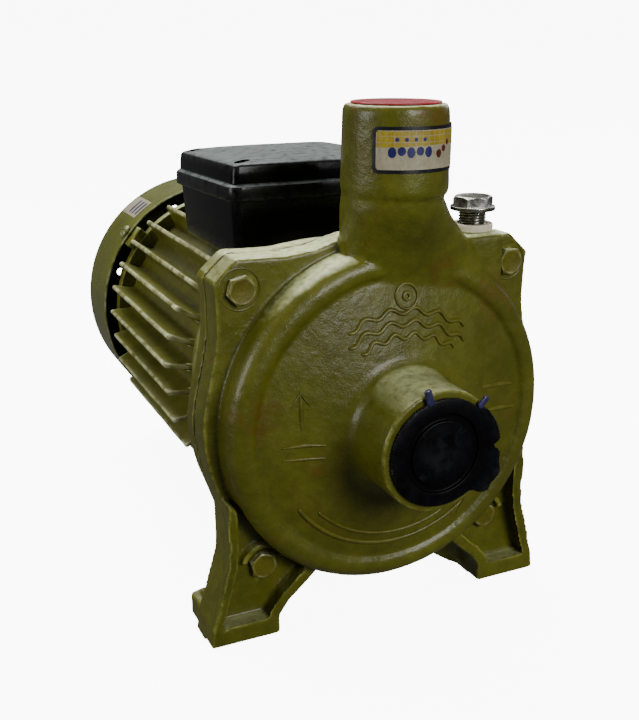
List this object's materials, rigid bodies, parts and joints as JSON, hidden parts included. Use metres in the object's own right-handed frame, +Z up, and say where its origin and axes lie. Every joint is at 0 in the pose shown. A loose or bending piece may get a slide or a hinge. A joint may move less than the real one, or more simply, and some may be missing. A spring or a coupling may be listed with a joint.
{
  "type": "centrifugal water pump",
  "caption": "Close-coupled centrifugal water pump with a finned electric motor, domed volute, threaded suction and discharge ports and a black terminal box.",
  "frame": {"origin": "on the floor, under the middle of the whole length, in the vertical plane of the shaft", "axes": "+X to the right seen from the suction side, +Y from the suction port to the fan, +Z up"},
  "size_m": [0.1844, 0.3392, 0.25],
  "materials": {
    "green_casting": "olive green gloss enamel over a sand casting",
    "green_frame": "olive green gloss enamel over a die casting",
    "green_sheet": "olive green gloss enamel on pressed sheet",
    "green_bolt": "zinc bolt painted over in olive green",
    "black_plastic": "moulded black plastic, semi-gloss",
    "red_plastic": "thin red plastic",
    "rubber": "black rubber",
    "fibre": "pale sealing fibre",
    "zinc": "zinc plated",
    "steel": "ground bearing steel",
    "stainless": "turned stainless steel",
    "lamination": "stacked electrical steel",
    "copper": "varnished copper winding",
    "brass": "cast brass",
    "ceramic": "white seal ceramic",
    "grey_plastic": "grey plastic"
  },
  "bodies": {
    "pump_body": {"pump_casing": "green_casting", "motor_bracket": "green_casting", "rear_shield": "green_casting", "motor_frame": "green_frame", "fan_cowl": "green_sheet", "motor_support": "green_sheet", "casing_bolt_1": "green_bolt", "casing_bolt_2": "green_bolt", "casing_bolt_3": "green_bolt", "casing_bolt_4": "green_bolt", "terminal_box_base": "black_plastic", "terminal_box_lid": "black_plastic", "casing_gasket": "rubber", "terminal_box_gasket": "rubber", "priming_washer": "fibre", "tie_rod_1": "zinc", "tie_rod_2": "zinc", "tie_rod_3": "zinc", "tie_rod_4": "zinc", "cowl_screw_1": "zinc", "cowl_screw_2": "zinc", "cowl_screw_3": "zinc", "cowl_screw_4": "zinc", "lid_screw_1": "zinc", "lid_screw_2": "zinc", "lid_screw_3": "zinc", "lid_screw_4": "zinc", "box_screw_1": "zinc", "box_screw_2": "zinc", "support_screw_1": "zinc", "support_screw_2": "zinc", "wave_washer": "steel", "front_bearing_outer_race": "steel", "rear_bearing_outer_race": "steel", "stator_core": "lamination", "stator_winding": "copper", "seal_seat": "ceramic", "capacitor": "grey_plastic", "terminal_board": "grey_plastic", "cable_gland_body": "grey_plastic", "cable_gland_nut": "grey_plastic"},
    "rotor": {"shaft": "stainless", "impeller": "brass", "impeller_key": "steel", "impeller_nut": "stainless", "seal_rotating_head": "rubber", "seal_spring": "stainless", "slinger": "rubber", "front_bearing_inner_race": "steel", "rear_bearing_inner_race": "steel", "rotor_core": "lamination", "fan": "black_plastic", "fan_circlip": "steel"},
    "front_cage": {"front_bearing_balls": "steel"},
    "rear_cage": {"rear_bearing_balls": "steel"},
    "priming_plug": {"priming_plug": "zinc"},
    "suction_plug": {"suction_plug": "black_plastic"},
    "discharge_cap": {"discharge_cap": "red_plastic"}
  },
  "joints": [
    {"name": "rotor_spin", "type": "hinge", "parent": "pump_body", "child": "rotor", "pos_m": [0, 0, 0.1042], "axis": [0, 1, 0], "continuous": true},
    {"name": "front_cage_spin", "type": "hinge", "parent": "pump_body", "child": "front_cage", "pos_m": [0, -0.04385, 0.1042], "axis": [0, 1, 0], "continuous": true},
    {"name": "rear_cage_spin", "type": "hinge", "parent": "pump_body", "child": "rear_cage", "pos_m": [0, 0.11415, 0.1042], "axis": [0, 1, 0], "continuous": true},
    {"name": "priming_plug_lift", "type": "slide", "parent": "pump_body", "child": "priming_plug", "axis": [0, 0, 1], "range_m": [-0.0059, 0.012]},
    {"name": "suction_plug_pull", "type": "slide", "parent": "pump_body", "child": "suction_plug", "axis": [0, -1, 0], "range_m": [0, 0.02]},
    {"name": "discharge_cap_pull", "type": "slide", "parent": "pump_body", "child": "discharge_cap", "axis": [0, 0, 1], "range_m": [0, 0.015]}
  ],
  "couplings": [
    {"joint": "front_cage_spin", "follows": "rotor_spin", "ratio": 0.387},
    {"joint": "rear_cage_spin", "follows": "rotor_spin", "ratio": 0.388}
  ]
}
